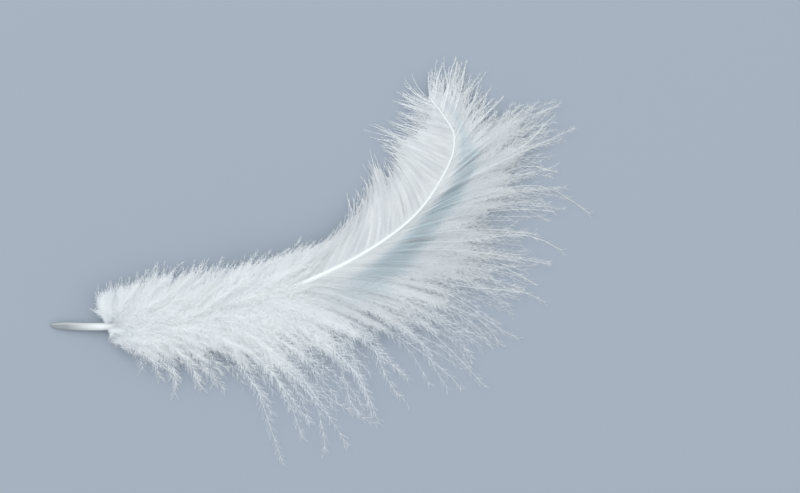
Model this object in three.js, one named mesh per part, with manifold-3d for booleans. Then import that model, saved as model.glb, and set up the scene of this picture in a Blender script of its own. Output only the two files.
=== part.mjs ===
// A white downy feather that lies on a flat surface, seen from above with its quill to the left.
// It grew as one piece: a quill that runs on as a curved shaft, with soft locks of barbs on both sides.
// Millimetres, +Z up from the surface. X and Y start at the middle of the feather's outline.

import * as THREE from "three";
import { mergeVertices } from "three/addons/utils/BufferGeometryUtils.js";
import Module from "manifold-3d";

// Shaft: the points that its middle line runs through, from the quill's point to the curled tip
const SHAFT_POINTS = [
  [-54.1, -13.1, 0.2],
  [-42.2, -13.2, 1.7],
  [-26.2, -11.4, 3.4],
  [-10.2, -7.0, 4.4],
  [5.8, -0.2, 4.7],
  [18.2, 8.4, 4.6],
  [25.0, 18.0, 4.2],
  [26.6, 24.2, 3.9],
  [24.6, 28.5, 3.6],
  [21.4, 32.6, 3.3],
];
const QUILL_RADIUS = 0.76;
const QUILL_POINT_LENGTH = 4;
const QUILL_POINT_RINGS = [0.03, 0.13, 0.3, 0.6];
const BARE_QUILL_LENGTH = 12;
const SHAFT_END_RADIUS = 0.17;
const SHAFT_END_ROUNDING = 0.5;
const SHAFT_SIDES = 8;
const SHAFT_STEPS = 22;

// Locks along the shaft, each as [distance of its root from the quill's point, bend x, bend y, tip x, tip y].
// A lock sets out from the shaft towards its bend and reaches its tip heading away from the bend.
const UPPER_LOCKS = [
  [12.0, -43.0, -10.6, -46.4, -9.8],
  [12.3, -43.2, -8.4, -44.4, -4.8],
  [13.0, -41.0, -8.6, -40.2, -3.4],
  [14.2, -37.4, -7.8, -36.4, -2.4],
  [16.0, -33.0, -6.4, -32.2, -0.2],
  [18.5, -28.8, -5.8, -27.6, -0.8],
  [21.5, -24.2, -5.0, -22.8, 0.4],
  [25.0, -19.4, -4.4, -17.6, 0.2],
  [29.5, -14.2, -3.2, -12.0, 0.6],
  [34.5, -9.0, -2.0, -6.6, 1.4],
  [40.0, -4.2, 0.0, -1.6, 3.6],
  [45.0, 0.6, 2.2, 2.6, 4.6],
  [50.0, 4.4, 4.4, 6.2, 8.6],
  [56.0, 7.4, 7.2, 8.2, 13.6],
  [63.5, 11.4, 10.4, 8.4, 16.8],
  [69.5, 13.4, 12.4, 9.4, 21.8],
  [75.0, 16.2, 14.0, 12.6, 20.0],
  [81.5, 18.2, 17.6, 13.0, 22.6],
  [86.5, 18.2, 21.6, 11.2, 23.4],
  [91.0, 18.8, 23.4, 8.6, 26.4],
  [94.5, 19.4, 25.6, 13.0, 27.8],
  [97.5, 20.6, 27.4, 14.8, 29.6],
  [100.0, 20.2, 29.6, 14.2, 31.8],
  [102.5, 19.0, 31.4, 15.0, 33.4],
  [104.2, 18.4, 33.2, 16.8, 36.2],
  [104.6, 19.0, 34.0, 18.2, 37.2],
];
const LOWER_LOCKS = [
  [12.0, -41.2, -14.6, -41.8, -16.6],
  [12.4, -39.0, -15.4, -35.8, -18.6],
  [14.0, -32.6, -16.8, -32.6, -23.6],
  [16.5, -30.2, -16.6, -29.2, -26.8],
  [19.5, -27.4, -16.0, -25.0, -26.2],
  [22.5, -23.4, -15.8, -20.2, -26.2],
  [25.5, -20.2, -15.4, -15.4, -21.6],
  [28.0, -12.6, -17.0, -6.0, -40.6],
  [31.0, -7.8, -17.0, 0.6, -38.6],
  [34.0, -6.2, -17.4, 6.2, -37.0],
  [37.5, -1.8, -16.2, 9.0, -33.6],
  [41.0, 4.4, -14.6, 12.2, -32.4],
  [44.5, 10.8, -12.2, 19.0, -27.4],
  [48.0, 16.8, -10.6, 27.2, -26.6],
  [51.0, 23.4, -7.8, 33.6, -24.6],
  [53.5, 26.8, -6.0, 35.8, -17.0],
  [56.0, 22.2, -3.4, 40.4, -14.0],
  [58.5, 25.8, -1.4, 44.0, -10.2],
  [61.5, 27.0, 1.0, 43.2, -5.0],
  [64.5, 27.4, 4.0, 45.8, -0.4],
  [66.5, 28.6, 5.8, 48.2, 2.2],
  [68.5, 29.8, 7.8, 43.4, 5.4],
  [71.0, 31.4, 11.8, 46.6, 9.2],
  [73.5, 34.8, 18.2, 54.2, 11.0],
  [76.5, 35.8, 18.2, 47.2, 18.8],
  [79.0, 34.8, 21.2, 51.0, 26.0],
  [82.0, 38.4, 21.4, 47.4, 28.2],
  [85.0, 37.8, 27.6, 47.0, 32.8],
  [88.5, 35.0, 25.6, 41.6, 30.6],
  [92.0, 31.4, 27.8, 36.2, 33.0],
  [95.5, 29.2, 29.4, 32.2, 35.2],
  [98.5, 27.6, 32.2, 29.4, 39.8],
  [101.5, 25.8, 34.4, 26.8, 40.4],
  [104.0, 23.2, 34.8, 23.8, 39.4],
  [105.3, 21.4, 34.4, 21.6, 36.8],
];

// Down at the base that lies over the shaft: roots along the shaft, and how each lock runs forward from there
const COVER_ROOTS = [14, 18, 22, 26, 30, 34];
const COVER_LENGTH = 15;
const COVER_BEND = { lean: 1.1, rise: 5.4 };
const COVER_TIP = { lean: 3.4, rise: 0.8 };
const COVER_HALF_WIDTH = 1.9;

// Form of the locks: their taper as [share of the width, share of the length], then widths and heights
const LOCK_SIDES = 6;
const LOCK_TAPER = [
  [0, 0],
  [1, 0],
  [1, 0.2],
  [1, 0.45],
  [0.85, 0.7],
  [0.45, 0.9],
  [0, 1],
];
const WIDTH_SHARE_OF_GAP = 0.6;
const NARROWEST_HALF_WIDTH = 0.8;
const WIDEST_HALF_WIDTH = 2.9;
const DOWN_HALF_THICKNESS = 1.45;
const VANE_HALF_THICKNESS = 0.6;
const DOWN_ENDS_AT = 38;
const VANE_STARTS_AT = 66;
const DOWN_ARCH = 0.4;
const VANE_ARCH = -1.6;
const LOCK_STAGGER = 0.7;
const TIP_HEIGHT = 0.1;
const ROOT_TURN_SHARE = 0.3;
const ROOT_THICKNESS_SHARE = 0.35;
const VANE_DIP = 0.8;
const DIP_REACH = 0.5;

const MERGE_TOLERANCE = 1e-4;
const SURFACE_SLAB = [200, 200, 20];
const UP = new THREE.Vector3(0, 0, 1);

const wasm = await Module();
wasm.setup();

const shaftCurve = new THREE.CatmullRomCurve3(
  SHAFT_POINTS.map((point) => new THREE.Vector3(...point)),
  false,
  "catmullrom",
  0.5,
);
const shaftLength = shaftCurve.getLength();

function shaftPoint(distance) {
  return shaftCurve.getPointAt(Math.min(distance / shaftLength, 1));
}

// The level direction that points to the left of a curve's heading
function leftOf(curve, share) {
  return UP.clone().cross(curve.getTangentAt(share)).normalize();
}

// A lathed spindle whose vertices are set again by place(along, across, above)
function bentSpindle(profile, sides, place) {
  const geometry = new THREE.LatheGeometry(profile, sides);
  const position = geometry.attributes.position;
  for (let i = 0; i < position.count; i++) {
    const point = place(position.getY(i), position.getX(i), -position.getZ(i));
    position.setXYZ(i, point.x, point.y, point.z);
  }
  return geometry;
}

function shaftRadius(distance) {
  if (distance < QUILL_POINT_LENGTH) {
    const short = 1 - distance / QUILL_POINT_LENGTH;
    return QUILL_RADIUS * Math.sqrt(1 - short * short);
  }
  const taper = (distance - BARE_QUILL_LENGTH) / (shaftLength - BARE_QUILL_LENGTH);
  return THREE.MathUtils.lerp(QUILL_RADIUS, SHAFT_END_RADIUS, Math.max(taper, 0));
}

// Quill and shaft as one tapered rod, rounded at the quill's point
function shaftGeometry() {
  const profile = [new THREE.Vector2(0, 0)];
  for (const ring of QUILL_POINT_RINGS) {
    const distance = ring * QUILL_POINT_LENGTH;
    profile.push(new THREE.Vector2(shaftRadius(distance), distance));
  }
  const lastRing = shaftLength - SHAFT_END_ROUNDING;
  for (let step = 0; step <= SHAFT_STEPS; step++) {
    const distance = THREE.MathUtils.lerp(QUILL_POINT_LENGTH, lastRing, step / SHAFT_STEPS);
    profile.push(new THREE.Vector2(shaftRadius(distance), distance));
  }
  profile.push(new THREE.Vector2(0, shaftLength));
  return bentSpindle(profile, SHAFT_SIDES, (distance, across, above) => {
    const share = Math.min(distance / shaftLength, 1);
    return shaftPoint(distance).addScaledVector(leftOf(shaftCurve, share), across).addScaledVector(UP, above);
  });
}

// How much of the closed vane, rather than of the down, is at this distance along the shaft
function vaneShare(distance) {
  return THREE.MathUtils.smoothstep(distance, DOWN_ENDS_AT, VANE_STARTS_AT);
}

function sideLockCurve([rootDistance, bendX, bendY, tipX, tipY], index) {
  const root = shaftPoint(rootDistance);
  const arch = THREE.MathUtils.lerp(DOWN_ARCH, VANE_ARCH, vaneShare(rootDistance));
  const stagger = index % 2 ? LOCK_STAGGER : -LOCK_STAGGER;
  const bend = new THREE.Vector3(bendX, bendY, (root.z + TIP_HEIGHT) / 2 + arch + stagger);
  return new THREE.QuadraticBezierCurve3(root, bend, new THREE.Vector3(tipX, tipY, TIP_HEIGHT));
}

// Half the width of a lock: a share of the gap to its neighbours at the same place along them
function lockHalfWidth(curves, index, share) {
  const here = curves[index].getPointAt(share);
  const neighbours = [curves[index - 1], curves[index + 1]].filter(Boolean);
  const gaps = neighbours.map((curve) => curve.getPointAt(share).distanceTo(here));
  const gap = gaps.reduce((sum, value) => sum + value, 0) / gaps.length;
  return THREE.MathUtils.clamp(gap * WIDTH_SHARE_OF_GAP, NARROWEST_HALF_WIDTH, WIDEST_HALF_WIDTH);
}

// A flat lock along a curve. Its root is spread along rootSide, and further out it lies square to the curve.
function lockGeometry(curve, rootSide, halfWidthAt, halfThickness, dip) {
  const profile = LOCK_TAPER.map(([size, share]) => new THREE.Vector2(size, share));
  return bentSpindle(profile, LOCK_SIDES, (share, across, above) => {
    const turn = THREE.MathUtils.smoothstep(share, 0, ROOT_TURN_SHARE);
    const side = rootSide.clone().lerp(leftOf(curve, share), turn).normalize();
    const thickness = halfThickness * THREE.MathUtils.lerp(ROOT_THICKNESS_SHARE, 1, turn);
    const sink = dip * Math.sin(Math.PI * Math.min(share / DIP_REACH, 1));
    return curve
      .getPointAt(share)
      .addScaledVector(side, across * halfWidthAt(share))
      .addScaledVector(UP, above * thickness - sink);
  });
}

// The locks of one side, which sink beside the shaft by dip where the vane is closed
function sideLocks(locks, dip) {
  const curves = locks.map(sideLockCurve);
  return locks.map(([rootDistance], index) => {
    const vane = vaneShare(rootDistance);
    const halfThickness = THREE.MathUtils.lerp(DOWN_HALF_THICKNESS, VANE_HALF_THICKNESS, vane);
    const alongShaft = shaftCurve.getTangentAt(Math.min(rootDistance / shaftLength, 1));
    const rootSide = alongShaft.multiplyScalar(Math.sign(alongShaft.dot(leftOf(curves[index], 0))));
    const halfWidthAt = (share) => lockHalfWidth(curves, index, share);
    return lockGeometry(curves[index], rootSide, halfWidthAt, halfThickness, dip * vane);
  });
}

// The down over the shaft, in locks that lean to the left and to the right by turns
function coverLocks() {
  return COVER_ROOTS.map((rootDistance, index) => {
    const leftOrRight = index % 2 ? -1 : 1;
    const overShaft = (distance, { lean, rise }) =>
      shaftPoint(distance)
        .addScaledVector(leftOf(shaftCurve, distance / shaftLength), lean * leftOrRight)
        .addScaledVector(UP, rise);
    const bend = overShaft(rootDistance + COVER_LENGTH / 2, COVER_BEND);
    const tip = overShaft(rootDistance + COVER_LENGTH, COVER_TIP);
    const curve = new THREE.QuadraticBezierCurve3(shaftPoint(rootDistance), bend, tip);
    return lockGeometry(curve, leftOf(curve, 0), () => COVER_HALF_WIDTH, DOWN_HALF_THICKNESS, 0);
  });
}

function solidOf(geometry) {
  geometry.deleteAttribute("normal");
  geometry.deleteAttribute("uv");
  const merged = mergeVertices(geometry, MERGE_TOLERANCE);
  const mesh = new wasm.Mesh({
    numProp: 3,
    vertProperties: merged.attributes.position.array,
    triVerts: new Uint32Array(merged.index.array),
  });
  return new wasm.Manifold(mesh);
}

function geometryOf(solid) {
  const mesh = solid.getMesh();
  const geometry = new THREE.BufferGeometry();
  geometry.setAttribute("position", new THREE.BufferAttribute(mesh.vertProperties, 3));
  geometry.setIndex(new THREE.BufferAttribute(mesh.triVerts, 1));
  return geometry;
}

// Shaft and locks joined, and pressed flat where they meet the surface that the feather lies on.
// Pockets that the locks seal between them are filled by keeping the outer body alone.
function featherSolid() {
  const locks = [...sideLocks(UPPER_LOCKS, 0), ...sideLocks(LOWER_LOCKS, VANE_DIP), ...coverLocks()];
  const joined = [...locks, shaftGeometry()].map(solidOf).reduce((solid, piece) => solid.add(piece));
  const surface = new THREE.BoxGeometry(...SURFACE_SLAB).translate(0, 0, -SURFACE_SLAB[2] / 2);
  const bodies = joined.subtract(solidOf(surface)).decompose();
  return bodies.reduce((largest, body) => (body.volume() > largest.volume() ? body : largest));
}

const keratin = new THREE.MeshStandardMaterial({ color: 0xeef2f4, roughness: 0.75, metalness: 0 });
const feather = new THREE.Mesh(geometryOf(featherSolid()), keratin);
feather.name = "feather";

const part = new THREE.Group();
part.add(feather);

export default part;
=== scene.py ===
"""A white downy feather on a plain pale floor, seen straight from above.

The shaft and the locks follow the same lines as the solid part. Every lock is made of barbs,
and every barb carries two rows of fine barbules, all as joined meshes. Lengths are in millimetres until
a mesh is made. The floor, the lights and the camera are in metres.
"""

import bpy
import numpy as np
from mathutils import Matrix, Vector


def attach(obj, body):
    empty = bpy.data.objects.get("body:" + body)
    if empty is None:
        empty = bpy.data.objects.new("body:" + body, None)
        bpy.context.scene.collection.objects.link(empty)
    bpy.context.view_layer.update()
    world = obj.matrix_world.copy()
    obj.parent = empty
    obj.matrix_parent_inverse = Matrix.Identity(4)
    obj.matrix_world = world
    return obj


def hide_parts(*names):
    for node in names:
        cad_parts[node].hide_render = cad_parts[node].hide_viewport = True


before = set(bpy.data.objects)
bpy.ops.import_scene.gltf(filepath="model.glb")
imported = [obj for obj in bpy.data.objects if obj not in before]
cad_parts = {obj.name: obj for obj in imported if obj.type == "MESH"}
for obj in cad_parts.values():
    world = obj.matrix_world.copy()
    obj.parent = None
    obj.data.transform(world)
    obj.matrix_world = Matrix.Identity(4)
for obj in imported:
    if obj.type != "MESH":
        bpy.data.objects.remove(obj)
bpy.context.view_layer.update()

MM = 0.001
SEED = 11
TINY = 1e-9
UP = np.array([0.0, 0.0, 1.0])

# Shaft: the points that its middle line runs through, from the quill's point to the curled tip
SHAFT_POINTS = np.array([
    [-54.1, -13.1, 0.2],
    [-42.2, -13.2, 1.7],
    [-26.2, -11.4, 3.4],
    [-10.2, -7.0, 4.4],
    [5.8, -0.2, 4.7],
    [18.2, 8.4, 4.6],
    [25.0, 18.0, 4.2],
    [26.6, 24.2, 3.9],
    [24.6, 28.5, 3.6],
    [21.4, 32.6, 3.3],
])
QUILL_RADIUS = 0.76
QUILL_POINT_LENGTH = 4.0
BARE_QUILL_LENGTH = 12.0
SHAFT_END_RADIUS = 0.13
SHAFT_POINT_RADIUS = 0.02
LINE_STEPS = 60

# Mesh of the shaft: its rings stand closer together at the quill, where RING_POWER is above 1
SHAFT_SIDES = 20
SHAFT_RINGS = 240
RING_POWER = 1.25

# Locks along the shaft, each as distance of its root from the quill's point, bend x and y, tip x and y
UPPER_LOCKS = np.array([
    [12.0, -43.0, -10.6, -46.4, -9.8],
    [12.3, -43.2, -8.4, -44.4, -4.8],
    [13.0, -41.0, -8.6, -40.2, -3.4],
    [14.2, -37.4, -7.8, -36.4, -2.4],
    [16.0, -33.0, -6.4, -32.2, -0.2],
    [18.5, -28.8, -5.8, -27.6, -0.8],
    [21.5, -24.2, -5.0, -22.8, 0.4],
    [25.0, -19.4, -4.4, -17.6, 0.2],
    [29.5, -14.2, -3.2, -12.0, 0.6],
    [34.5, -9.0, -2.0, -6.6, 1.4],
    [40.0, -4.2, 0.0, -1.6, 3.6],
    [45.0, 0.6, 2.2, 2.6, 4.6],
    [50.0, 4.4, 4.4, 6.2, 8.6],
    [56.0, 7.4, 7.2, 8.2, 13.6],
    [63.5, 11.4, 10.4, 8.4, 16.8],
    [69.5, 13.4, 12.4, 9.4, 21.8],
    [75.0, 16.2, 14.0, 12.6, 20.0],
    [81.5, 18.2, 17.6, 13.0, 22.6],
    [86.5, 18.2, 21.6, 11.2, 23.4],
    [91.0, 18.8, 23.4, 8.6, 26.4],
    [94.5, 19.4, 25.6, 13.0, 27.8],
    [97.5, 20.6, 27.4, 14.8, 29.6],
    [100.0, 20.2, 29.6, 14.2, 31.8],
    [102.5, 19.0, 31.4, 15.0, 33.4],
    [104.2, 18.4, 33.2, 16.8, 36.2],
    [104.6, 19.0, 34.0, 18.2, 37.2],
])
LOWER_LOCKS = np.array([
    [12.0, -41.2, -14.6, -41.8, -16.6],
    [12.4, -39.0, -15.4, -35.8, -18.6],
    [14.0, -32.6, -16.8, -32.6, -23.6],
    [16.5, -30.2, -16.6, -29.2, -26.8],
    [19.5, -27.4, -16.0, -25.0, -26.2],
    [22.5, -23.4, -15.8, -20.2, -26.2],
    [25.5, -20.2, -15.4, -15.4, -21.6],
    [28.0, -12.6, -17.0, -6.0, -40.6],
    [31.0, -7.8, -17.0, 0.6, -38.6],
    [34.0, -6.2, -17.4, 6.2, -37.0],
    [37.5, -1.8, -16.2, 9.0, -33.6],
    [41.0, 4.4, -14.6, 12.2, -32.4],
    [44.5, 10.8, -12.2, 19.0, -27.4],
    [48.0, 16.8, -10.6, 27.2, -26.6],
    [51.0, 23.4, -7.8, 33.6, -24.6],
    [53.5, 26.8, -6.0, 35.8, -17.0],
    [56.0, 22.2, -3.4, 40.4, -14.0],
    [58.5, 25.8, -1.4, 44.0, -10.2],
    [61.5, 27.0, 1.0, 43.2, -5.0],
    [64.5, 27.4, 4.0, 45.8, -0.4],
    [66.5, 28.6, 5.8, 48.2, 2.2],
    [68.5, 29.8, 7.8, 43.4, 5.4],
    [71.0, 31.4, 11.8, 46.6, 9.2],
    [73.5, 34.8, 18.2, 54.2, 11.0],
    [76.5, 35.8, 18.2, 47.2, 18.8],
    [79.0, 34.8, 21.2, 51.0, 26.0],
    [82.0, 38.4, 21.4, 47.4, 28.2],
    [85.0, 37.8, 27.6, 47.0, 32.8],
    [88.5, 35.0, 25.6, 41.6, 30.6],
    [92.0, 31.4, 27.8, 36.2, 33.0],
    [95.5, 29.2, 29.4, 32.2, 35.2],
    [98.5, 27.6, 32.2, 29.4, 39.8],
    [101.5, 25.8, 34.4, 26.8, 40.4],
    [104.0, 23.2, 34.8, 23.8, 39.4],
    [105.3, 21.4, 34.4, 21.6, 36.8],
])
DOWN_ENDS_AT = 38.0
VANE_STARTS_AT = 66.0
TIP_STARTS_AT = 82.0
TIP_FULL_AT = 96.0

# Heights of the locks over the floor
DOWN_ARCH = 0.4
VANE_ARCH = -1.6
TIP_HEIGHT = 0.1
TIP_LIFT = 1.2
DIP_REACH = 0.5
RIDGE_AT = 0.42
RIDGE_WIDTH = 0.14
FLOOR_CLEARANCE = 0.03
HIGHEST = 8.3

# Barbs of the two sides. Three values are those in the down, in the vane and at the feather's tip:
# per_mm, how many stand on a millimetre of shaft; gather, how far they draw into their lock;
# notch, how much shorter they are between two locks; shortest, the least share of the lock that they reach;
# few_long, above 1 where most stay short; stray and snake, how far they wander and wind;
# loose_from, the share of the lock where they leave their even order.
# lift is the height of the down, dip and ridge shape the vane, and opens_at is the share of the lock
# where the vane frays, in its middle and near the feather's tip. bundles is how much that share rises
# and falls from one bundle of barbs to the next, and web_uneven from barb to barb.
# frayed_barbules is their length where the vane frays, in the same two places. wisps_from is the share of
# the lock where down and vane thin out to single wisps, wisps_bare the share of barbules that those lack,
# wisp_barbules how much longer theirs are, and tip_barbules the length that the last of them keep.
# leader is how much thicker than the others the one barb is that leads each lock of the vane to its tip.
UPPER_SIDE = {
    "locks": UPPER_LOCKS,
    "per_mm": (12.0, 6.0, 6.0),
    "gather": (0.0, 0.45, 0.35),
    "notch": (0.0, 0.3, 0.25),
    "shortest": (0.72, 0.72, 0.75),
    "few_long": (1.8, 0.9, 0.8),
    "stray": (0.6, 0.9, 0.7),
    "snake": (1.1, 1.2, 0.6),
    "loose_from": (0.0, 0.5, 0.5),
    "lift": 2.6,
    "dip": 0.0,
    "ridge": 0.0,
    "opens_at": (0.8, 0.5),
    "bundles": 0.05,
    "frayed_barbules": (0.8, 0.8),
    "web_uneven": 0.12,
    "wisps_from": (0.62, 0.85),
    "wisps_bare": 0.95,
    "wisp_barbules": 1.0,
    "tip_barbules": 0.3,
    "leader": 1.0,
}
LOWER_SIDE = {
    "locks": LOWER_LOCKS,
    "per_mm": (12.0, 10.0, 11.0),
    "gather": (0.4, 0.12, 0.1),
    "notch": (0.1, 0.1, 0.05),
    "shortest": (0.27, 0.45, 0.5),
    "few_long": (4.0, 1.5, 1.0),
    "stray": (1.2, 1.6, 1.6),
    "snake": (1.8, 1.2, 1.1),
    "loose_from": (0.0, 0.25, 0.25),
    "lift": 2.6,
    "dip": 0.8,
    "ridge": 0.9,
    "opens_at": (0.36, 0.06),
    "bundles": 0.4,
    "frayed_barbules": (1.3, 0.8),
    "web_uneven": 0.3,
    "wisps_from": (0.34, 0.45),
    "wisps_bare": 0.8,
    "wisp_barbules": 1.4,
    "tip_barbules": 0.7,
    "leader": 1.9,
}
BUNDLE_WIDTHS = (3.7, 2.1)
BASE_CROWDING = 4.0
BASE_LENGTH = 4.0
BARB_POINTS = 12
DOWN_BARB_RADIUS = 0.04
VANE_BARB_RADIUS = 0.045
BARB_TIP_SHARE = 0.5
TUBE_ANGLES_DEG = (30, 150, 270)
LEADER_RISE = 0.6

# Roots of the barbs: how far out and up they sit on the shaft, in its radii, the steps in which their number
# is added up, the part of its own stretch where each may stand, and how unevenly they draw into their locks
ROOT_OUTWARD = 0.6
ROOT_UPWARD = 0.7
ROOT_STEPS = 2000
ROOT_SHIFT = (0.1, 0.9)
GATHER_RANGE = (0.5, 1.1)

# Stray tips: the length of barb that strays in full, the least and most share of that, how many in the vane
# are wild and how much further those stray, and the mean and spread of the shift along the barb
STRAY_FULL_LENGTH = 12.0
STRAY_SHARES = (0.3, 1.2)
WILD_SHARE = 0.15
WILD_STRAY = 2.0
STRAY_ALONG = (-0.2, 0.25)

# Arcs of the down: FEW_HIGH above 1 keeps most barbs low, LIFT_FADE says how the lift fades towards the vane,
# ARC_POWER below 1 brings the top nearer to the root, and ARC_SHARE is the part of a half wave that is used
FEW_HIGH = 1.2
LIFT_FADE = 0.8
ARC_POWER = 0.8
ARC_SHARE = 0.85

# Slow waves of the barbs: the length of barb that winds in full, the least and most share of that, the number
# of waves, and how strongly and how far out of step they also go up and down
SNAKE_FULL_LENGTH = 20.0
SNAKE_SHARES = (0.2, 1.0)
SNAKE_TURNS = (0.4, 1.2)
SNAKE_UPWARD = 0.6
SNAKE_TWIST = 1.7

# The closed web of the vane beside the shaft
WEB_POINTS = 14
WEB_RIPPLE = 0.07
WEB_RIPPLE_FULL_AT = 0.15
WEB_BARBS_PER_RIB = 4
WEB_BELOW_BARBS = 0.03
WEB_SPLITS_FROM = 0.85
WEB_LEAST_SHARE = 0.03

# Down over the shaft's upper face at the base. It thins out and lies lower along the shaft, leans to either
# side, bends on that way and rises in an arc
COVER_BARBS = 600
COVER_FROM = 12.2
COVER_TO = 43.0
COVER_THINNING = 1.5
COVER_SINKS = 0.6
COVER_LENGTHS = (6.0, 15.0)
COVER_LEAN_DEG = 20.0
COVER_MOST_LEAN_DEG = 40.0
COVER_BEND = 0.06
COVER_LEAN_BEND = 0.2
COVER_SPREAD = 1.6
COVER_ON_SHAFT = 0.6
COVER_RISE = 3.0
COVER_RISE_SHARES = (0.1, 1.0)
COVER_ARC_POWER = 0.9
COVER_ARC_SHARE = 0.8
COVER_WISPS_FROM = 0.6
COVER_WISPS_BARE = 0.6
COVER_TIP_BARBULES = 0.4

# Barbules: lengths and widths of the fine blades, and the angles at which they leave a barb
DOWN_BARBULE_LENGTH = 1.8
CLOSED_BARBULE_LENGTH = 0.4
RIDGE_BARBULE_EXTRA = 0.6
LENGTH_UNEVEN = 0.6
FULL_BARB_LENGTH = 10.0
SHORT_BARB_SHARE = 0.4
DOWN_BARBULE_WIDTH = 0.05
FRAYED_BARBULE_WIDTH = 0.04
WISP_BARBULE_WIDTH = 0.04
WIDTH_RANGE = (0.7, 1.3)
WIDE_END_SHARE = 0.5
WISP_WIDE_END_LESS = 0.25
DOWN_ANGLE_DEG = 42.0
VANE_ANGLE_DEG = 20.0
TIP_ANGLE_DEG = 30.0
ANGLE_SPREAD_DEG = (18.0, 10.0)
BARBULE_DROOP = 0.06
BARBULE_TILT = 0.2

# Where barbules stand, how many a closed vane and the feather's tip lack, and how far they roll around
# the barb, in radians. A vane opens from a little before to a little after the edge of its web, and
# OUTER_RANGE is the stretch where barbules change to those of a barb's end
BARBULES_FROM = 0.02
OPENS_BEFORE = 0.3
OPENS_AFTER = 0.15
CLOSED_BARE = 0.75
TIP_BARE = 0.5
TIP_BARE_FROM = 0.6
WISP_FADE = 0.25
WISP_ORDER = 0.8
CLOSED_ROLL = 0.1
OPEN_ROLL = 0.45
RIDGE_ROLL = 0.2
OUTER_RANGE = (0.5, 0.95)

# Map of a piece: its margin, the span that the vertices fill, the width that every face keeps in it,
# and the share of the span that goes round the shaft
MAP_MARGIN = 0.005
MAP_SPAN = 0.975
MAP_FACE_WIDTH = 0.012
SHAFT_MAP_SPAN = 0.9


def smoothstep(low, high, value):
    share = np.clip((value - low) / (high - low), 0.0, 1.0)
    return share * share * (3.0 - 2.0 * share)


def unit(vectors):
    return vectors / np.maximum(np.linalg.norm(vectors, axis=-1, keepdims=True), TINY)


def blend(pair, share):
    return pair[0] + (pair[1] - pair[0]) * share


# Shaft line

def shaft_line():
    """Points close together on the smooth curve through SHAFT_POINTS, and their distance along it."""
    before = 2.0 * SHAFT_POINTS[0] - SHAFT_POINTS[1]
    after = 2.0 * SHAFT_POINTS[-1] - SHAFT_POINTS[-2]
    points = np.vstack([before, SHAFT_POINTS, after])
    steps = np.linspace(0.0, 1.0, LINE_STEPS, endpoint=False)[:, None]
    spans = []
    for a, b, c, d in zip(points[:-3], points[1:-2], points[2:-1], points[3:]):
        leave = 0.5 * (c - a)
        arrive = 0.5 * (d - b)
        bend = 2.0 * b - 2.0 * c + leave + arrive
        slope = -3.0 * b + 3.0 * c - 2.0 * leave - arrive
        spans.append(((bend * steps + slope) * steps + leave) * steps + b)
    line = np.vstack([*spans, SHAFT_POINTS[-1:]])
    distance = np.concatenate([[0.0], np.cumsum(np.linalg.norm(np.diff(line, axis=0), axis=1))])
    return line, distance


LINE, LINE_DISTANCE = shaft_line()
LINE_HEADING = unit(np.gradient(LINE, LINE_DISTANCE, axis=0))
SHAFT_LENGTH = LINE_DISTANCE[-1]


def along_shaft(values, distance):
    return np.stack([np.interp(distance, LINE_DISTANCE, values[:, k]) for k in range(3)], axis=-1)


def shaft_point(distance):
    return along_shaft(LINE, distance)


def shaft_heading(distance):
    return unit(along_shaft(LINE_HEADING, distance))


def shaft_radius(distance):
    short = 1.0 - np.clip(distance / QUILL_POINT_LENGTH, 0.0, 1.0)
    taper = np.clip((distance - BARE_QUILL_LENGTH) / (SHAFT_LENGTH - BARE_QUILL_LENGTH), 0.0, 1.0)
    full = QUILL_RADIUS + (SHAFT_END_RADIUS - QUILL_RADIUS) * taper
    return full * np.sqrt(1.0 - short * short)


def vane_share(distance):
    """How much of the closed vane, rather than of the down, is at this distance along the shaft."""
    return smoothstep(DOWN_ENDS_AT, VANE_STARTS_AT, distance)


def tip_share(distance):
    """How much of the frayed tip is at this distance along the shaft."""
    return smoothstep(TIP_STARTS_AT, TIP_FULL_AT, distance)


def trough_share(distance):
    """How hollow the lower vane is at this distance along the shaft: not in the down, and not at the tip."""
    return vane_share(distance) * (1 - tip_share(distance))


def along_side(values, distance):
    """Values at distances along the shaft, from the three of the down, the vane and the tip."""
    down, vane, tip = values
    return blend((blend((down, vane), vane_share(distance)), tip), tip_share(distance))


# Barbs

def barb_roots(rng, first, last, per_mm):
    """Distances along the shaft at which barbs are rooted, closer together in the down than in the vane."""
    grid = np.linspace(first, last, ROOT_STEPS)
    crowding = 1 + BASE_CROWDING * (1 - smoothstep(first, first + BASE_LENGTH, grid))
    filled = np.cumsum(along_side(per_mm, grid) * crowding) * (grid[1] - grid[0])
    count = int(filled[-1])
    return np.interp(np.arange(count) + rng.uniform(*ROOT_SHIFT, count), filled, grid)


def barb_frames(path):
    """Heading, level side and upward direction at every point of every barb."""
    heading = unit(np.gradient(path, axis=1))
    side = unit(np.cross(UP, heading))
    return heading, side, np.cross(heading, side)


def barb_lengths(path):
    return np.linalg.norm(np.diff(path, axis=1), axis=2).sum(1)


def ridge_share(share):
    """How much of the ridge beyond the trough is at this share of the lock."""
    return np.exp(-((share - RIDGE_AT) / RIDGE_WIDTH) ** 2)


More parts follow.
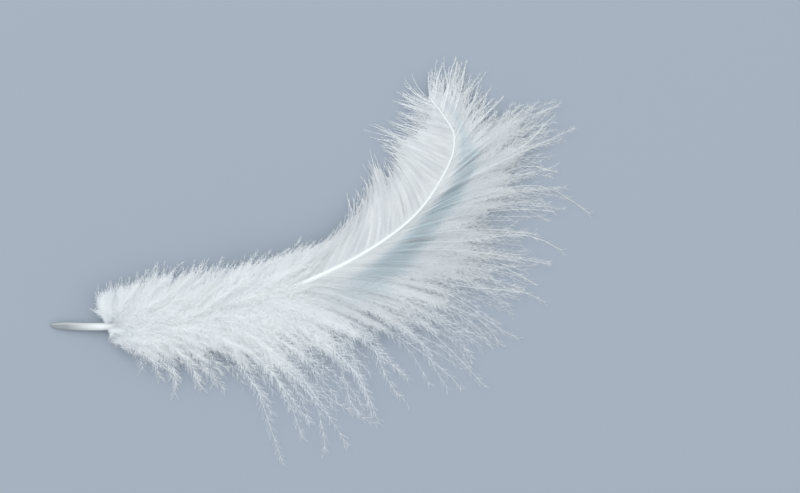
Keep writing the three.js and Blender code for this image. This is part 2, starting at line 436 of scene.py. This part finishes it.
def lock_lines(side, roots, place, share):
    """Points at the given shares of lines between the locks of one side, at places counted in locks."""
    locks = side["locks"]
    vane = vane_share(roots)
    bend_x, bend_y, tip_x, tip_y = (np.interp(place, np.arange(len(locks)), column) for column in locks.T[1:])
    root = shaft_point(roots)
    outward = unit(np.column_stack([bend_x, bend_y]) - root[:, :2])
    root[:, :2] += ROOT_OUTWARD * shaft_radius(roots)[:, None] * outward
    root[:, 2] += ROOT_UPWARD * shaft_radius(roots)
    bend_z = 0.5 * (root[:, 2] + TIP_HEIGHT) + blend((DOWN_ARCH, VANE_ARCH), vane)
    bend = np.column_stack([bend_x, bend_y, bend_z])
    tip = np.column_stack([tip_x, tip_y, np.full(len(roots), TIP_HEIGHT)])
    t = share[..., None]
    lines = (1 - t) ** 2 * root[:, None] + 2 * t * (1 - t) * bend[:, None] + t * t * tip[:, None]
    hollow = trough_share(roots)[:, None]
    lines[..., 2] -= side["dip"] * hollow * np.sin(np.pi * np.minimum(share / DIP_REACH, 1.0))
    lines[..., 2] += side["ridge"] * hollow * ridge_share(share)
    return lines


def side_barbs(rng, side):
    """Barbs of one side, each as a line of points from the shaft outward. One leads every lock to its tip."""
    locks = side["locks"]
    roots = barb_roots(rng, locks[0, 0], locks[-1, 0], side["per_mm"])
    count = len(roots)
    vane = vane_share(roots)
    place = np.interp(roots, locks[:, 0], np.arange(len(locks)))
    leaders = np.abs(roots[:, None] - locks[None, :, 0]).argmin(0)
    place[leaders] = np.arange(len(locks))
    off_middle = np.round(place) - place
    pull = along_side(side["gather"], roots) * rng.uniform(*GATHER_RANGE, count) * off_middle

    least = along_side(side["shortest"], roots)
    reach = least + (1 - least) * rng.uniform(0, 1, count) ** along_side(side["few_long"], roots)
    reach *= 1 - along_side(side["notch"], roots) * (2 * off_middle) ** 2
    reach[leaders] = 1.0
    run = np.linspace(0, 1, BARB_POINTS)[None, :]
    share = run * reach[:, None]

    even = lock_lines(side, roots, place, share)
    drawn = lock_lines(side, roots, place + pull, share)
    size = barb_lengths(even)
    loose = smoothstep(along_side(side["loose_from"], roots)[:, None], 1.0, share)
    wander = along_side(side["stray"], roots) * np.clip(size / STRAY_FULL_LENGTH, *STRAY_SHARES)
    wander *= np.where(rng.uniform(0, 1, count) < WILD_SHARE * vane, WILD_STRAY, 1.0)
    wander[leaders] = 0.0
    heading, across, _ = barb_frames(even)
    stray = across[:, -1] * rng.normal(0, 1, (count, 1))
    stray = stray + heading[:, -1] * rng.normal(*STRAY_ALONG, (count, 1))
    stray = stray * wander[:, None] + UP * rng.uniform(0, TIP_LIFT, (count, 1))
    path = even + (drawn - even + stray[:, None]) * loose[..., None]

    rise = side["lift"] * rng.uniform(0, 1, count) ** FEW_HIGH * (1 - vane) ** LIFT_FADE
    rise[leaders] += LEADER_RISE * vane[leaders]
    path[..., 2] += rise[:, None] * np.sin(np.pi * run ** ARC_POWER * ARC_SHARE)
    phase = rng.uniform(0, 2 * np.pi, (count, 1))
    turns = rng.uniform(*SNAKE_TURNS, (count, 1))
    amount = along_side(side["snake"], roots) * rng.uniform(*SNAKE_SHARES, count) * size / SNAKE_FULL_LENGTH
    snake = amount[:, None] * loose
    path += across * (snake * np.sin(2 * np.pi * turns * run + phase))[..., None]
    path[..., 2] += SNAKE_UPWARD * snake * np.sin(2 * np.pi * turns * run + SNAKE_TWIST * phase)
    path[..., 2] = np.clip(path[..., 2], FLOOR_CLEARANCE, HIGHEST)
    thick = blend((DOWN_BARB_RADIUS, VANE_BARB_RADIUS), vane)
    thick[leaders] *= blend((1.0, side["leader"]), vane[leaders])
    return {
        "path": path,
        "share": share,
        "thick": thick,
        "root": roots,
        "place": place,
        "vane": vane,
        "tip": tip_share(roots),
        "opens_at": opening(side, roots),
        "frayed_barbules": blend(side["frayed_barbules"], tip_share(roots)),
        "ridge": side["ridge"] * trough_share(roots),
        "wisps_from": blend(side["wisps_from"], vane),
        "wisps_bare": np.full(count, side["wisps_bare"]),
        "wisp_barbules": np.full(count, side["wisp_barbules"]),
        "tip_barbules": np.full(count, side["tip_barbules"]),
    }


def opening(side, roots):
    """The share of the lock where the vane frays: uneven between bundles, and none at the shaft's end."""
    waves = [np.sin(2 * np.pi * roots / width) for width in BUNDLE_WIDTHS]
    uneven = 1 + side["bundles"] * np.mean(waves, axis=0)
    fading = 1 - smoothstep(TIP_FULL_AT, SHAFT_LENGTH, roots)
    return blend(side["opens_at"], tip_share(roots)) * uneven * fading


def cover_barbs(rng):
    """Down that starts on the shaft's upper face and lies forward over it."""
    along = rng.uniform(0, 1, COVER_BARBS) ** COVER_THINNING
    roots = blend((COVER_FROM, COVER_TO), along)
    root = shaft_point(roots)
    heading = shaft_heading(roots)
    left = unit(np.cross(UP, heading))
    root = root + left * rng.normal(0, COVER_SPREAD, (COVER_BARBS, 1))
    lean = rng.normal(0, COVER_LEAN_DEG, COVER_BARBS)[:, None]
    lean = np.radians(np.clip(lean, -COVER_MOST_LEAN_DEG, COVER_MOST_LEAN_DEG))
    ahead = heading * np.cos(lean) + left * np.sin(lean)
    size = rng.uniform(*COVER_LENGTHS, COVER_BARBS)[:, None]
    run = np.linspace(0, 1, BARB_POINTS)[None, :]
    path = root[:, None] + (ahead * size)[:, None] * run[..., None]
    bend = rng.normal(0, COVER_BEND, (COVER_BARBS, 1)) + COVER_LEAN_BEND * lean
    path += left[:, None] * (bend * size * run ** 2)[..., None]
    rise = COVER_RISE * rng.uniform(*COVER_RISE_SHARES, (COVER_BARBS, 1)) * (1 - COVER_SINKS * along[:, None])
    arc = rise * np.sin(np.pi * run ** COVER_ARC_POWER * COVER_ARC_SHARE)
    path[..., 2] += COVER_ON_SHAFT * shaft_radius(roots)[:, None] + arc
    path[..., 2] = np.clip(path[..., 2], FLOOR_CLEARANCE, HIGHEST)
    none = np.zeros(COVER_BARBS)
    share = np.broadcast_to(run, (COVER_BARBS, BARB_POINTS))
    return {
        "path": path,
        "share": share,
        "thick": np.full(COVER_BARBS, DOWN_BARB_RADIUS),
        "root": roots,
        "vane": none,
        "tip": none,
        "opens_at": none,
        "frayed_barbules": none,
        "ridge": none,
        "wisps_from": np.full(COVER_BARBS, COVER_WISPS_FROM),
        "wisps_bare": np.full(COVER_BARBS, COVER_WISPS_BARE),
        "wisp_barbules": np.ones(COVER_BARBS),
        "tip_barbules": np.full(COVER_BARBS, COVER_TIP_BARBULES),
    }


def pick(barbs, low, high):
    """The barbs whose roots lie between two distances along the shaft."""
    keep = (barbs["root"] >= low) & (barbs["root"] < high)
    return {name: values[keep] for name, values in barbs.items()}


# Meshes: makers return vertices, faces and, for each vertex, its share outward and its place along the shaft

def two_triangles(a, b, c, d):
    """Triangles for the four-cornered fields whose corners are numbered a, b, c and d."""
    return np.vstack([np.stack(corners, -1).reshape(-1, 3) for corners in ([a, b, c], [a, c, d])])


def barb_tubes(barbs):
    """Three-sided tapering tubes along the barbs."""
    path = barbs["path"]
    _, side, above = barb_frames(path)
    count, points, _ = path.shape
    sides = len(TUBE_ANGLES_DEG)
    radius = barbs["thick"][:, None, None] * np.linspace(1.0, BARB_TIP_SHARE, points)[None, :, None]
    rings = []
    for angle in np.radians(TUBE_ANGLES_DEG):
        rings.append(path + radius * (np.cos(angle) * side + np.sin(angle) * above))
    verts = np.stack(rings, axis=2)
    index = np.arange(count * points * sides).reshape(count, points, sides)
    faces = []
    for k in range(sides):
        a = index[:, :-1, k]
        b = index[:, :-1, (k + 1) % sides]
        c = index[:, 1:, (k + 1) % sides]
        d = index[:, 1:, k]
        faces.append(two_triangles(a, b, c, d))
    share = np.repeat(barbs["share"].ravel(), sides)
    return verts.reshape(-1, 3), np.vstack(faces), share, np.repeat(barbs["root"], points * sides)


def at_run(values, which, run):
    """Values along the barbs numbered which, at the given shares of their length."""
    place = run * (values.shape[1] - 1)
    first = np.minimum(place.astype(int), values.shape[1] - 2)
    part = (place - first)[:, None]
    return values[which, first] * (1 - part) + values[which, first + 1] * part


def barbule_places(rng, barbs, size, number):
    """The barb of each barbule, the share of it and of its lock, and how closed and how wispy it is there.

    There are as many as number says, less those that a closed vane, the feather's tip and the wisps lack.
    """
    which = rng.choice(len(size), number, p=size / size.sum())
    run = rng.uniform(BARBULES_FROM, 1.0, number)
    share = run * barbs["share"][which, -1]
    opens = barbs["opens_at"][which]
    tip = barbs["tip"][which]
    wisps = barbs["wisps_from"][which]
    closed = barbs["vane"][which] * (1 - smoothstep(opens - OPENS_BEFORE, opens + OPENS_AFTER, share))
    wispy = smoothstep(wisps, wisps + WISP_FADE, share) * (1 - tip)
    bare = np.maximum(CLOSED_BARE * closed, TIP_BARE * tip * smoothstep(TIP_BARE_FROM, 1.0, run))
    bare = np.maximum(bare, barbs["wisps_bare"][which] * wispy)
    keep = rng.uniform(0, 1, number) > bare
    return which[keep], run[keep], share[keep], closed[keep], wispy[keep]


def barbules(rng, barbs, number):
    """Fine blades in two rows along every barb.

    Half of them narrow towards their end and half towards their root, and in the wisps most towards
    their end.
    """
    path = barbs["path"]
    heading, side, above = barb_frames(path)
    size = barb_lengths(path)
    which, run, share, closed, wispy = barbule_places(rng, barbs, size, number)
    count = len(which)
    vane = barbs["vane"][which]
    order = 1 - WISP_ORDER * wispy
    fluff = barbs["ridge"][which] * ridge_share(share)
    outer = smoothstep(*OUTER_RANGE, run)

    root = at_run(path, which, run)
    ahead = unit(at_run(heading, which, run))
    sideways = unit(at_run(side, which, run)) * rng.choice([-1.0, 1.0], count)[:, None]
    upward = unit(at_run(above, which, run))
    roll_spread = CLOSED_ROLL + OPEN_ROLL * (1 - closed) * order + RIDGE_ROLL * fluff
    roll = rng.normal(0, 1, count) * roll_spread
    outward = sideways * np.cos(roll)[:, None] + upward * np.sin(roll)[:, None]
    straight = vane * np.maximum(closed, barbs["tip"][which])
    angle = blend((blend((DOWN_ANGLE_DEG, VANE_ANGLE_DEG), straight), TIP_ANGLE_DEG), outer)
    angle = np.radians(angle + rng.normal(0, 1, count) * blend(ANGLE_SPREAD_DEG, vane) * order)
    out = ahead * np.cos(angle)[:, None] + outward * np.sin(angle)[:, None] - BARBULE_DROOP * UP

    longest = blend((DOWN_BARBULE_LENGTH, barbs["frayed_barbules"][which]), vane)
    longest = longest + (CLOSED_BARBULE_LENGTH - longest) * closed + RIDGE_BARBULE_EXTRA * fluff
    long = longest * blend((1.0, barbs["tip_barbules"][which]), outer)
    long *= blend((1.0, barbs["wisp_barbules"][which]), wispy)
    barb_size = np.clip(size[which] / FULL_BARB_LENGTH, SHORT_BARB_SHARE, 1.0)
    long *= (1 - LENGTH_UNEVEN * order * rng.uniform(0, 1, count)) * barb_size
    flat = unit(np.cross(out, UP + BARBULE_TILT * rng.normal(0, 1, (count, 3))))
    width = blend((blend((DOWN_BARBULE_WIDTH, FRAYED_BARBULE_WIDTH), vane), WISP_BARBULE_WIDTH), wispy)
    half = flat * (0.5 * width * rng.uniform(*WIDTH_RANGE, count))[:, None]
    end = root + out * long[:, None]
    outward_wide = (rng.uniform(0, 1, count) < WIDE_END_SHARE - WISP_WIDE_END_LESS * wispy)[:, None]
    wide = np.where(outward_wide, end, root)
    point = np.where(outward_wide, root, end)
    verts = np.stack([wide - half, wide + half, point], axis=1)
    verts[..., 2] = np.clip(verts[..., 2], FLOOR_CLEARANCE, HIGHEST)
    faces = np.arange(count * 3).reshape(count, 3)
    return verts.reshape(-1, 3), faces, np.repeat(share, 3), np.repeat(barbs["root"][which], 3)


def web_edges(rng, side, barbs):
    """The share of its lock that each barb of the closed vane reaches, and how high its rib stands."""
    count = len(barbs["root"])
    uneven = side["web_uneven"]
    end = barbs["opens_at"] * barbs["vane"] * rng.uniform(1 - uneven, 1 + uneven, count)
    ribs = np.convolve(rng.normal(0, 1, count), np.full(WEB_BARBS_PER_RIB, WEB_BARBS_PER_RIB ** -0.5), "same")
    return end, ribs


def web(side, barbs, end, ribs, low, high):
    """The closed part of a vane as one sheet from barb to barb, split near its edge where two locks part.

    Its barbs are those rooted between two distances along the shaft.
    """
    roots = barbs["root"]
    count = len(roots)
    run = np.linspace(0, 1, WEB_POINTS)[None, :]
    verts = lock_lines(side, roots, barbs["place"], run * end[:, None])
    ripple = WEB_RIPPLE * ribs[:, None] * smoothstep(0.0, WEB_RIPPLE_FULL_AT, run)
    verts[..., 2] = np.maximum(verts[..., 2] + ripple - WEB_BELOW_BARBS, FLOOR_CLEARANCE)
    index = np.arange(count * WEB_POINTS).reshape(count, WEB_POINTS)
    parting = np.round(barbs["place"][1:]) != np.round(barbs["place"][:-1])
    here = (roots[:-1] >= low) & (roots[:-1] < high) & (end[:-1] > WEB_LEAST_SHARE)
    kept = here[:, None] & ~(parting[:, None] & (run[:, 1:] > WEB_SPLITS_FROM))
    corners = (index[:-1, :-1], index[:-1, 1:], index[1:, 1:], index[1:, :-1])
    faces = two_triangles(*(corner[kept] for corner in corners))
    used, faces = np.unique(faces, return_inverse=True)
    share = np.broadcast_to(run, (count, WEB_POINTS)).reshape(-1)
    far = np.repeat(roots, WEB_POINTS)
    return verts.reshape(-1, 3)[used], faces.reshape(-1, 3), share[used], far[used]


def joined(*parts):
    """Several sets of vertices, faces, shares and places as one."""
    verts, faces, runs, fars = [], [], [], []
    offset = 0
    for part_verts, part_faces, part_run, part_far in parts:
        verts.append(part_verts)
        faces.append(part_faces + offset)
        runs.append(part_run)
        fars.append(part_far)
        offset += len(part_verts)
    return np.vstack(verts), np.vstack(faces), np.concatenate(runs), np.concatenate(fars)


def mesh_object(name, verts, faces, run, far, material, smooth=False):
    """A mesh that moves with the feather, with a map for its colours.

    Across the map goes the share outward, or round the shaft, and up it the place along the shaft.
    """
    mesh = bpy.data.meshes.new(name)
    mesh.vertices.add(len(verts))
    mesh.vertices.foreach_set("co", (verts * MM).astype(np.float32).ravel())
    mesh.loops.add(len(faces) * 3)
    mesh.loops.foreach_set("vertex_index", faces.astype(np.int32).ravel())
    mesh.polygons.add(len(faces))
    mesh.polygons.foreach_set("loop_start", np.arange(0, len(faces) * 3, 3, dtype=np.int32))
    mesh.update(calc_edges=True)
    low, high = far.min(), far.max()
    face = [[0.0, 0.0], [MAP_FACE_WIDTH, 0.0], [0.5 * MAP_FACE_WIDTH, MAP_FACE_WIDTH]]
    corner = np.tile(face, (len(faces), 1))
    place = np.stack([run, (far - low) / max(high - low, TINY)], axis=-1)[faces.ravel()]
    layer = mesh.uv_layers.new(name="OFBake")
    layer.data.foreach_set("uv", (MAP_MARGIN + MAP_SPAN * place + corner).astype(np.float32).ravel())
    mesh.polygons.foreach_set("use_smooth", np.full(len(faces), smooth))
    mesh.materials.append(material)
    piece = bpy.data.objects.new(name, mesh)
    bpy.context.scene.collection.objects.link(piece)
    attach(piece, "root")
    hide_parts("feather")


def shaft_piece(material):
    """Quill and shaft as one tapering tube, flat where it would go below the floor."""
    distance = SHAFT_LENGTH * np.linspace(0, 1, SHAFT_RINGS) ** RING_POWER
    centre = shaft_point(distance)[:, None]
    heading = shaft_heading(distance)
    left = unit(np.cross(UP, heading))[:, None]
    above = np.cross(heading, left[:, 0])[:, None]
    angle = np.linspace(0, 2 * np.pi, SHAFT_SIDES, endpoint=False)[None, :, None]
    radius = shaft_radius(distance)[:, None, None]
    radius = np.where(distance[:, None, None] >= SHAFT_LENGTH, SHAFT_POINT_RADIUS, radius)
    verts = centre + radius * (left * np.cos(angle) + above * np.sin(angle))
    verts[..., 2] = np.maximum(verts[..., 2], 0.0)
    index = np.arange(SHAFT_RINGS * SHAFT_SIDES).reshape(SHAFT_RINGS, SHAFT_SIDES)
    beside = np.roll(index, -1, axis=1)
    faces = two_triangles(index[:-1], index[1:], beside[1:], beside[:-1])
    run = np.broadcast_to(np.linspace(0, SHAFT_MAP_SPAN, SHAFT_SIDES), (SHAFT_RINGS, SHAFT_SIDES)).reshape(-1)
    far = np.broadcast_to(distance[:, None], (SHAFT_RINGS, SHAFT_SIDES)).reshape(-1)
    mesh_object("shaft", verts.reshape(-1, 3), faces, run, far, material, smooth=True)


# Materials: stops are pairs of a share outward, round the quill or along the shaft, and a colour

WHITE = (0.925, 0.942, 0.945)
ROOT_WHITE = (0.92, 0.94, 0.945)
SATIN = (0.955, 0.97, 0.972)
RIDGE = (0.88, 0.905, 0.915)
# SHADED is painted shade: the bluish grey of the lower vane's trough beside the shaft
SHADED = (0.68, 0.765, 0.80)
WARM_TIP = (0.91, 0.91, 0.885)
DOWN_STOPS = [(0.0, ROOT_WHITE), (0.3, WHITE), (0.7, WHITE), (1.0, WARM_TIP)]
VANE_STOPS = [(0.0, SATIN), (0.3, SATIN), (0.75, SATIN), (1.0, WARM_TIP)]
# Trough stops of the lower vane's barbs and webs: white beside the shaft, then painted shade, then paler
# outward
TROUGH_PAINTED_SHADE_STOPS = [(0.0, WHITE), (0.09, WHITE), (0.2, SHADED), (0.24, SHADED), (0.36, RIDGE), (1.0, WARM_TIP)]
WEB_STOPS = [(0.0, SATIN), (0.7, SATIN), (1.0, RIDGE)]
WEB_TROUGH_PAINTED_SHADE_STOPS = [(0.0, WHITE), (0.26, WHITE), (0.52, SHADED), (0.68, SHADED), (1.0, RIDGE)]
# Round the quill: grey where it is hollow, paler at its edges, with a painted highlight on the edge towards
# the key light
QUILL_GREY_CORE_AND_PAINTED_RIM_STOPS = [
    (0.0, (0.38, 0.39, 0.38)),
    (0.12, (0.40, 0.43, 0.43)),
    (0.22, (0.20, 0.23, 0.24)),
    (0.34, (0.26, 0.29, 0.30)),
    (0.5, (0.40, 0.42, 0.41)),
    (0.7, (0.50, 0.51, 0.49)),
]
SHAFT_STOPS = [
    (0.1, (0.65, 0.685, 0.685)),
    (0.5, (0.68, 0.71, 0.71)),
    (0.9, (0.63, 0.665, 0.67)),
]
QUILL_GREY_TO = 0.04
SHAFT_WHITE_FROM = 0.105
SHAFT_ROUGHNESS = 0.5

# Barbs: how long the streaks are drawn, where they start and end in the noise, how much bluer they are,
# the gloss, and the share of light that comes through
STREAK_STRETCH = 2.0
STREAK_EDGES = (0.3, 0.7)
STREAK_TINT = 0.01
UNSTREAKED = (1.0, 1.0, 1.0)
BARB_SPECULAR = 0.3
LIGHT_THROUGH = 0.5

# Looks of the barbs and webs: stops at the first and at the last end of the piece's stretch of shaft,
# roughness, number of streaks and their depth
BARB_LOOKS = {
    "white_down": (DOWN_STOPS, DOWN_STOPS, 0.8, 40, 0.04),
    "upper_vane_white": (DOWN_STOPS, VANE_STOPS, 0.6, 100, 0.12),
    # These lower vane looks, here and in the two lower webs below, carry painted shade in the trough beside
    # the shaft
    "lower_near_painted_trough_shade": (DOWN_STOPS, TROUGH_PAINTED_SHADE_STOPS, 0.65, 30, 0.12),
    "lower_middle_painted_trough_shade": (TROUGH_PAINTED_SHADE_STOPS, TROUGH_PAINTED_SHADE_STOPS, 0.6, 35, 0.12),
    "lower_tip_painted_trough_shade": (TROUGH_PAINTED_SHADE_STOPS, VANE_STOPS, 0.6, 40, 0.12),
    "upper_web_white": (WEB_STOPS, WEB_STOPS, 0.6, 100, 0.2),
    "lower_web_near_painted_trough_shade": (WEB_STOPS, WEB_TROUGH_PAINTED_SHADE_STOPS, 0.6, 40, 0.25),
    "lower_web_far_painted_trough_shade": (WEB_TROUGH_PAINTED_SHADE_STOPS, WEB_STOPS, 0.6, 55, 0.25),
}


def new_material(name):
    material = bpy.data.materials.new(name)
    material.use_nodes = True
    nodes = material.node_tree.nodes
    return material, nodes, material.node_tree.links, nodes["Principled BSDF"]


def colour_ramp(nodes, stops):
    """A ramp through the given (place, colour) stops."""
    ramp = nodes.new("ShaderNodeValToRGB")
    ramp.color_ramp.interpolation = "EASE"
    while len(ramp.color_ramp.elements) < len(stops):
        ramp.color_ramp.elements.new(0.5)
    for element, (place, colour) in zip(ramp.color_ramp.elements, stops):
        element.position = place
        element.color = (*colour, 1.0)
    return ramp


def mapped(nodes, links):
    """The mesh's map, and its two numbers apart."""
    place = nodes.new("ShaderNodeUVMap")
    place.uv_map = "OFBake"
    parts = nodes.new("ShaderNodeSeparateXYZ")
    links.new(place.outputs["UV"], parts.inputs[0])
    return place, parts


def mixed(nodes, links, how, factor, first, second):
    mix = nodes.new("ShaderNodeMix")
    mix.data_type = "RGBA"
    mix.blend_type = how
    if isinstance(factor, float):
        mix.inputs["Factor"].default_value = factor
    else:
        links.new(factor, mix.inputs["Factor"])
    links.new(first, mix.inputs["A"])
    links.new(second, mix.inputs["B"])
    return mix.outputs["Result"]


def barb_material(name, first_stops, last_stops, roughness, streak_count, streak_depth):
    """White keratin that lets light through, coloured along the locks by its stops, which paint shade into
    the lower vane's trough, and softly streaked from barb to barb.

    The shades change from the first stops to the last along the piece's stretch of shaft.
    """
    material, nodes, links, shader = new_material(name)
    place, parts = mapped(nodes, links)
    ramps = [colour_ramp(nodes, stops) for stops in (first_stops, last_stops)]
    for ramp in ramps:
        links.new(parts.outputs["X"], ramp.inputs[0])
    shades = [ramp.outputs["Color"] for ramp in ramps]
    shaded = mixed(nodes, links, "MIX", parts.outputs["Y"], *shades)
    stretch = nodes.new("ShaderNodeMapping")
    stretch.inputs["Scale"].default_value = (STREAK_STRETCH, streak_count, 1.0)
    links.new(place.outputs["UV"], stretch.inputs["Vector"])
    streaks = nodes.new("ShaderNodeTexNoise")
    streaks.inputs["Scale"].default_value = 1.0
    streaks.inputs["Detail"].default_value = 1.0
    links.new(stretch.outputs["Vector"], streaks.inputs["Vector"])
    dark = 1.0 - streak_depth
    streaked = (dark - STREAK_TINT, dark, dark + STREAK_TINT)
    shade = colour_ramp(nodes, list(zip(STREAK_EDGES, (streaked, UNSTREAKED))))
    links.new(streaks.outputs["Fac"], shade.inputs[0])
    colour = mixed(nodes, links, "MULTIPLY", 1.0, shaded, shade.outputs["Color"])
    links.new(colour, shader.inputs["Base Color"])
    shader.inputs["Roughness"].default_value = roughness
    shader.inputs["Specular IOR Level"].default_value = BARB_SPECULAR
    glow = nodes.new("ShaderNodeBsdfTranslucent")
    links.new(colour, glow.inputs["Color"])
    mix = nodes.new("ShaderNodeMixShader")
    mix.inputs[0].default_value = LIGHT_THROUGH
    links.new(shader.outputs[0], mix.inputs[1])
    links.new(glow.outputs[0], mix.inputs[2])
    links.new(mix.outputs[0], nodes["Material Output"].inputs["Surface"])
    return material


def keratin_material():
    """Horn of the quill and shaft: grey at the point, with paler edges and a painted highlight on the edge
    towards the key light, then white, and duller at the tip.
    """
    material, nodes, links, shader = new_material("shaft_keratin")
    _, parts = mapped(nodes, links)
    grey_core_and_painted_rim = colour_ramp(nodes, QUILL_GREY_CORE_AND_PAINTED_RIM_STOPS)
    links.new(parts.outputs["X"], grey_core_and_painted_rim.inputs[0])
    white = colour_ramp(nodes, SHAFT_STOPS)
    links.new(parts.outputs["Y"], white.inputs[0])
    grown = nodes.new("ShaderNodeMapRange")
    grown.inputs["From Min"].default_value = QUILL_GREY_TO
    grown.inputs["From Max"].default_value = SHAFT_WHITE_FROM
    links.new(parts.outputs["Y"], grown.inputs["Value"])
    shades = [ramp.outputs["Color"] for ramp in (grey_core_and_painted_rim, white)]
    colour = mixed(nodes, links, "MIX", grown.outputs["Result"], *shades)
    links.new(colour, shader.inputs["Base Color"])
    shader.inputs["Roughness"].default_value = SHAFT_ROUGHNESS
    return material


# Pieces

PAST_TIP = 120
SIDES = {"upper": UPPER_SIDE, "lower": LOWER_SIDE}

# Barbs: their group, the first and last distance along the shaft, how many barbules are drawn, and the look
BARB_PIECES = {
    "cover_down": ("cover", 0, PAST_TIP, 130000, "white_down"),
    "upper_down": ("upper", 0, 46, 130000, "white_down"),
    "upper_vane": ("upper", 46, PAST_TIP, 50000, "upper_vane_white"),
    "lower_down_near": ("lower", 0, 26, 90000, "white_down"),
    "lower_down_far": ("lower", 26, 46, 80000, "white_down"),
    "lower_vane_near": ("lower", 46, 62, 66000, "lower_near_painted_trough_shade"),
    "lower_vane_middle": ("lower", 62, 80, 84000, "lower_middle_painted_trough_shade"),
    "lower_vane_tip": ("lower", 80, PAST_TIP, 60000, "lower_tip_painted_trough_shade"),
}

# Webs: their side, the first and last distance along the shaft, and the look
WEB_PIECES = {
    "upper_web": ("upper", 0, PAST_TIP, "upper_web_white"),
    "lower_web_near": ("lower", 0, 70, "lower_web_near_painted_trough_shade"),
    "lower_web_far": ("lower", 70, PAST_TIP, "lower_web_far_painted_trough_shade"),
}


def feather_pieces():
    rng = np.random.default_rng(SEED)
    shaft_piece(keratin_material())
    groups = {group: side_barbs(rng, side) for group, side in SIDES.items()}
    groups["cover"] = cover_barbs(rng)
    looks = {name: barb_material(name, *values) for name, values in BARB_LOOKS.items()}
    for name, (group, low, high, number, look) in BARB_PIECES.items():
        barbs = pick(groups[group], low, high)
        mesh_object(name, *joined(barb_tubes(barbs), barbules(rng, barbs, number)), looks[look])
    edges = {group: web_edges(rng, side, groups[group]) for group, side in SIDES.items()}
    for name, (group, low, high, look) in WEB_PIECES.items():
        sheet = web(SIDES[group], groups[group], *edges[group], low, high)
        mesh_object(name, *sheet, looks[look], smooth=True)


# Stage, light and camera

PHOTO_SIZE = (800, 493)
PHOTO_ORIGIN = (321.0, 260.0)
MM_PER_PIXEL = 0.2
CAMERA_HEIGHT = 0.6
SENSOR_WIDTH = 36.0
FLOOR_SIZE = 4.0
FLOOR_LEVEL = -0.0001
FLOOR_COLOUR = (0.26, 0.30, 0.35, 1)
FLOOR_ROUGHNESS = 0.9
ROOM_COLOUR = (0.93, 0.96, 1.0, 1)
ROOM_STRENGTH = 0.8
MOST_BOUNCES = 12
DIFFUSE_BOUNCES = 8

# Lights, each as its place, size and power
LIGHTS = {
    "key": ((-0.28, 0.34, 0.8), 1.0, 6.6),
    "fill": ((0.6, -0.3, 0.6), 0.8, 2.4),
}


def floor_stage():
    bpy.ops.mesh.primitive_plane_add(size=FLOOR_SIZE, location=(0, 0, FLOOR_LEVEL))
    floor = bpy.context.object
    floor.name = "floor"
    material, _, _, shader = new_material("pale_floor")
    shader.inputs["Base Color"].default_value = FLOOR_COLOUR
    shader.inputs["Roughness"].default_value = FLOOR_ROUGHNESS
    floor.data.materials.append(material)


def area_light(name, place, size, power):
    light = bpy.data.lights.new(name, "AREA")
    light.size = size
    light.energy = power
    holder = bpy.data.objects.new(name, light)
    holder.location = place
    holder.rotation_euler = (-Vector(place)).to_track_quat("-Z", "Y").to_euler()
    bpy.context.scene.collection.objects.link(holder)


def studio():
    scene = bpy.context.scene
    world = bpy.data.worlds.new("soft_room")
    world.use_nodes = True
    background = world.node_tree.nodes["Background"]
    background.inputs["Color"].default_value = ROOM_COLOUR
    background.inputs["Strength"].default_value = ROOM_STRENGTH
    scene.world = world
    for name, (place, size, power) in LIGHTS.items():
        area_light(name, place, size, power)
    scene.view_settings.view_transform = "Standard"
    scene.cycles.use_denoising = True
    scene.cycles.max_bounces = MOST_BOUNCES
    scene.cycles.diffuse_bounces = DIFFUSE_BOUNCES


def camera():
    data = bpy.data.cameras.new("camera")
    data.sensor_width = SENSOR_WIDTH
    data.lens = SENSOR_WIDTH * CAMERA_HEIGHT / (PHOTO_SIZE[0] * MM_PER_PIXEL * MM)
    view = bpy.data.objects.new("camera", data)
    x = (PHOTO_SIZE[0] / 2 - PHOTO_ORIGIN[0]) * MM_PER_PIXEL * MM
    y = (PHOTO_ORIGIN[1] - PHOTO_SIZE[1] / 2) * MM_PER_PIXEL * MM
    view.location = (x, y, CAMERA_HEIGHT)
    bpy.context.scene.collection.objects.link(view)
    bpy.context.scene.camera = view


camera()
floor_stage()
studio()
feather_pieces()
